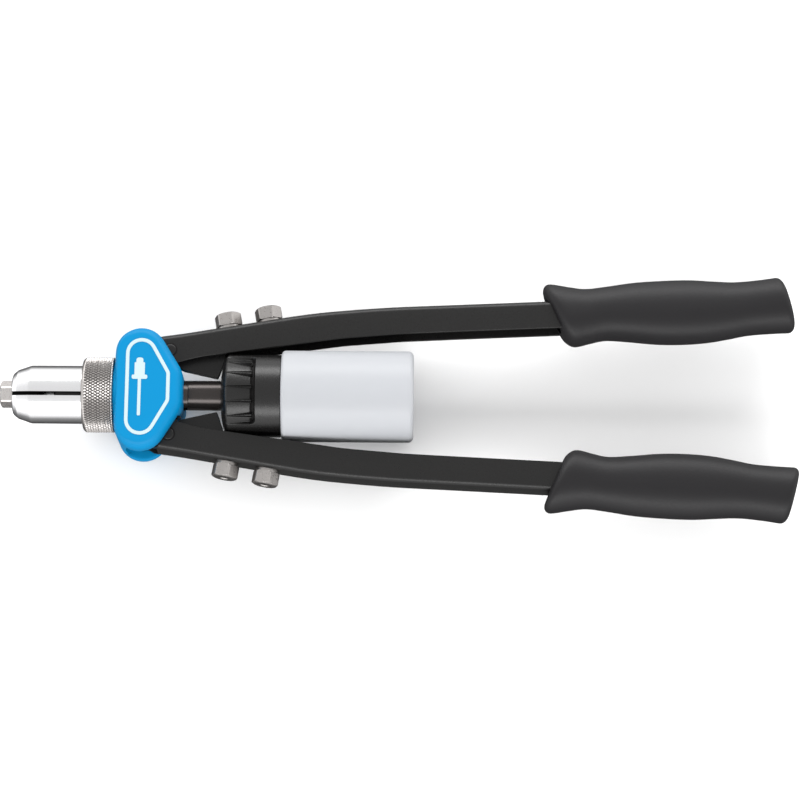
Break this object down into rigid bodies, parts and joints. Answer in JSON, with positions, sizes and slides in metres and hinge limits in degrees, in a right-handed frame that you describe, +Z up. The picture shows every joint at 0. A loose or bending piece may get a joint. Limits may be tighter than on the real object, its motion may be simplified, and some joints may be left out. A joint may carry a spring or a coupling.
{
  "type": "hand riveter",
  "caption": "Long-arm two-handed blind riveter with a slit nose, a clamping ring, toothed lever arms, rubber grips, spare nosepieces on the arms and a bottle for spent mandrels.",
  "frame": {"origin": "centre of the fitted nosepiece's front face, on the tool's axis", "axes": "+X from the nose towards the handles, +Y across the tool to the upper arm, +Z up out of the front cover with the tool lying flat"},
  "size_m": [0.4281, 0.1354, 0.0492],
  "materials": {
    "steel_bright": "polished, zinc plated",
    "aluminium": "polished",
    "steel_brushed": "machined",
    "cover_blue": "satin",
    "print_white": "satin",
    "arm_black": "satin black coating",
    "grip_rubber": "matt",
    "cap_black": "satin",
    "bottle_clear": "translucent, frosted",
    "seal_rubber": "matt"
  },
  "bodies": {
    "head": {"nosepiece": "steel_bright", "nose_sleeve": "aluminium", "head_block": "steel_brushed", "front_cover": "cover_blue", "rear_cover": "cover_blue", "front_badge": "print_white", "cover_screws": "steel_brushed", "upper_pivot_pin": "steel_bright", "lower_pivot_pin": "steel_bright", "pivot_clips": "steel_brushed", "idler_pins": "steel_brushed"},
    "lock_ring": {"knurled_ring": "steel_bright"},
    "upper_arm": {"upper_arm_channel": "arm_black", "upper_lever": "arm_black", "upper_rivet": "steel_bright", "upper_spacers": "steel_brushed", "upper_grip": "grip_rubber", "upper_spare_front": "steel_bright", "upper_spare_rear": "steel_bright"},
    "lower_arm": {"lower_arm_channel": "arm_black", "lower_lever": "arm_black", "lower_rivet": "steel_bright", "lower_spacers": "steel_brushed", "lower_grip": "grip_rubber", "lower_spare_front": "steel_bright", "lower_spare_rear": "steel_bright"},
    "upper_idler": {"upper_idler": "steel_brushed"},
    "lower_idler": {"lower_idler": "steel_brushed"},
    "pull_unit": {"jaw_case": "steel_brushed", "jaw_1": "steel_brushed", "jaw_2": "steel_brushed", "jaw_3": "steel_brushed", "jaw_pusher": "steel_brushed", "jaw_spring": "steel_brushed", "pull_bar": "steel_brushed", "pull_tube": "arm_black", "tube_locknut": "steel_brushed", "collector_cap": "cap_black", "seal_ring": "seal_rubber"},
    "bottle": {"collector_bottle": "bottle_clear"}
  },
  "joints": [
    {"name": "lock_ring_turn", "type": "hinge", "parent": "head", "child": "lock_ring", "pos_m": [0.053, 0, 0], "axis": [1, 0, 0], "continuous": true},
    {"name": "upper_arm_swing", "type": "hinge", "parent": "head", "child": "upper_arm", "pos_m": [0.077, 0.0205, 0], "axis": [0, 0, 1], "range_deg": [0, 55]},
    {"name": "lower_arm_swing", "type": "hinge", "parent": "head", "child": "lower_arm", "pos_m": [0.077, -0.0205, 0], "axis": [0, 0, -1], "range_deg": [0, 55]},
    {"name": "upper_idler_turn", "type": "hinge", "parent": "head", "child": "upper_idler", "pos_m": [0.0875, 0.01215, 0], "axis": [0, 0, -1], "range_deg": [0, 93.1]},
    {"name": "lower_idler_turn", "type": "hinge", "parent": "head", "child": "lower_idler", "pos_m": [0.0875, -0.01215, 0], "axis": [0, 0, 1], "range_deg": [0, 93.1]},
    {"name": "pull_unit_slide", "type": "slide", "parent": "head", "child": "pull_unit", "axis": [-1, 0, 0], "range_m": [0, 0.0081]},
    {"name": "bottle_pull_off", "type": "slide", "parent": "pull_unit", "child": "bottle", "axis": [1, 0, 0], "range_m": [0, 0.285]}
  ],
  "couplings": [
    {"joint": "lower_arm_swing", "follows": "upper_arm_swing", "ratio": 1},
    {"joint": "upper_idler_turn", "follows": "upper_arm_swing", "ratio": 1.6831},
    {"joint": "lower_idler_turn", "follows": "upper_arm_swing", "ratio": 1.6831},
    {"joint": "pull_unit_slide", "follows": "upper_arm_swing", "m_per_rad": 0.0084154}
  ]
}
